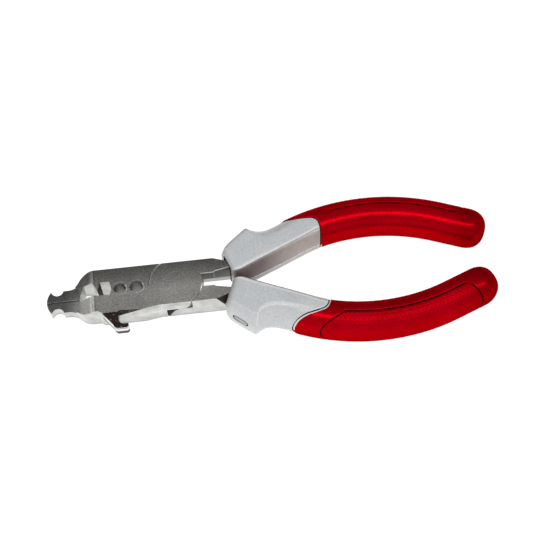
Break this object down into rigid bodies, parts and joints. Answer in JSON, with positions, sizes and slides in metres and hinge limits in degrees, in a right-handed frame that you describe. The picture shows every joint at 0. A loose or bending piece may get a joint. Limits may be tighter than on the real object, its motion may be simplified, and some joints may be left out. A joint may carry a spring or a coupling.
{
  "type": "crimping pliers",
  "caption": "Lap-joint crimping pliers with a string-spreading nose, sockets and holes between the jaws, a side hook and red two-colour grips.",
  "frame": {"origin": "on the pivot axis, on the back face of the joint", "axes": "+X from the jaws towards the handles, along the tool; +Z out of the front face, along the pivot axis; the upper handle is on +Y"},
  "size_m": [0.1794, 0.0614, 0.0174],
  "materials": {
    "jaw_steel": "satin-ground flat faces, bright machined edges",
    "bright_steel": "bright polished",
    "core_black": "satin",
    "collar_grey": "fine matt moulded texture",
    "badge_grey": "satin",
    "grip_red": "soft gloss",
    "pad_red": "dimpled soft rubber"
  },
  "bodies": {
    "rear_lever": {"rear_half": "jaw_steel", "lower_core_sleeve": "core_black", "lower_collar": "collar_grey", "lower_grip": "grip_red", "lower_grip_pad": "pad_red", "lower_badge": "badge_grey"},
    "front_lever": {"front_half": "jaw_steel", "pivot_rivet": "jaw_steel", "side_hook": "bright_steel", "upper_core_sleeve": "core_black", "upper_collar": "collar_grey", "upper_grip": "grip_red", "upper_grip_pad": "pad_red", "upper_badge": "badge_grey"}
  },
  "joints": [
    {"name": "jaw_pivot", "type": "hinge", "parent": "rear_lever", "child": "front_lever", "pos_m": [0, 0, 0.00595], "axis": [0, 0, 1], "range_deg": [0, 30]}
  ]
}
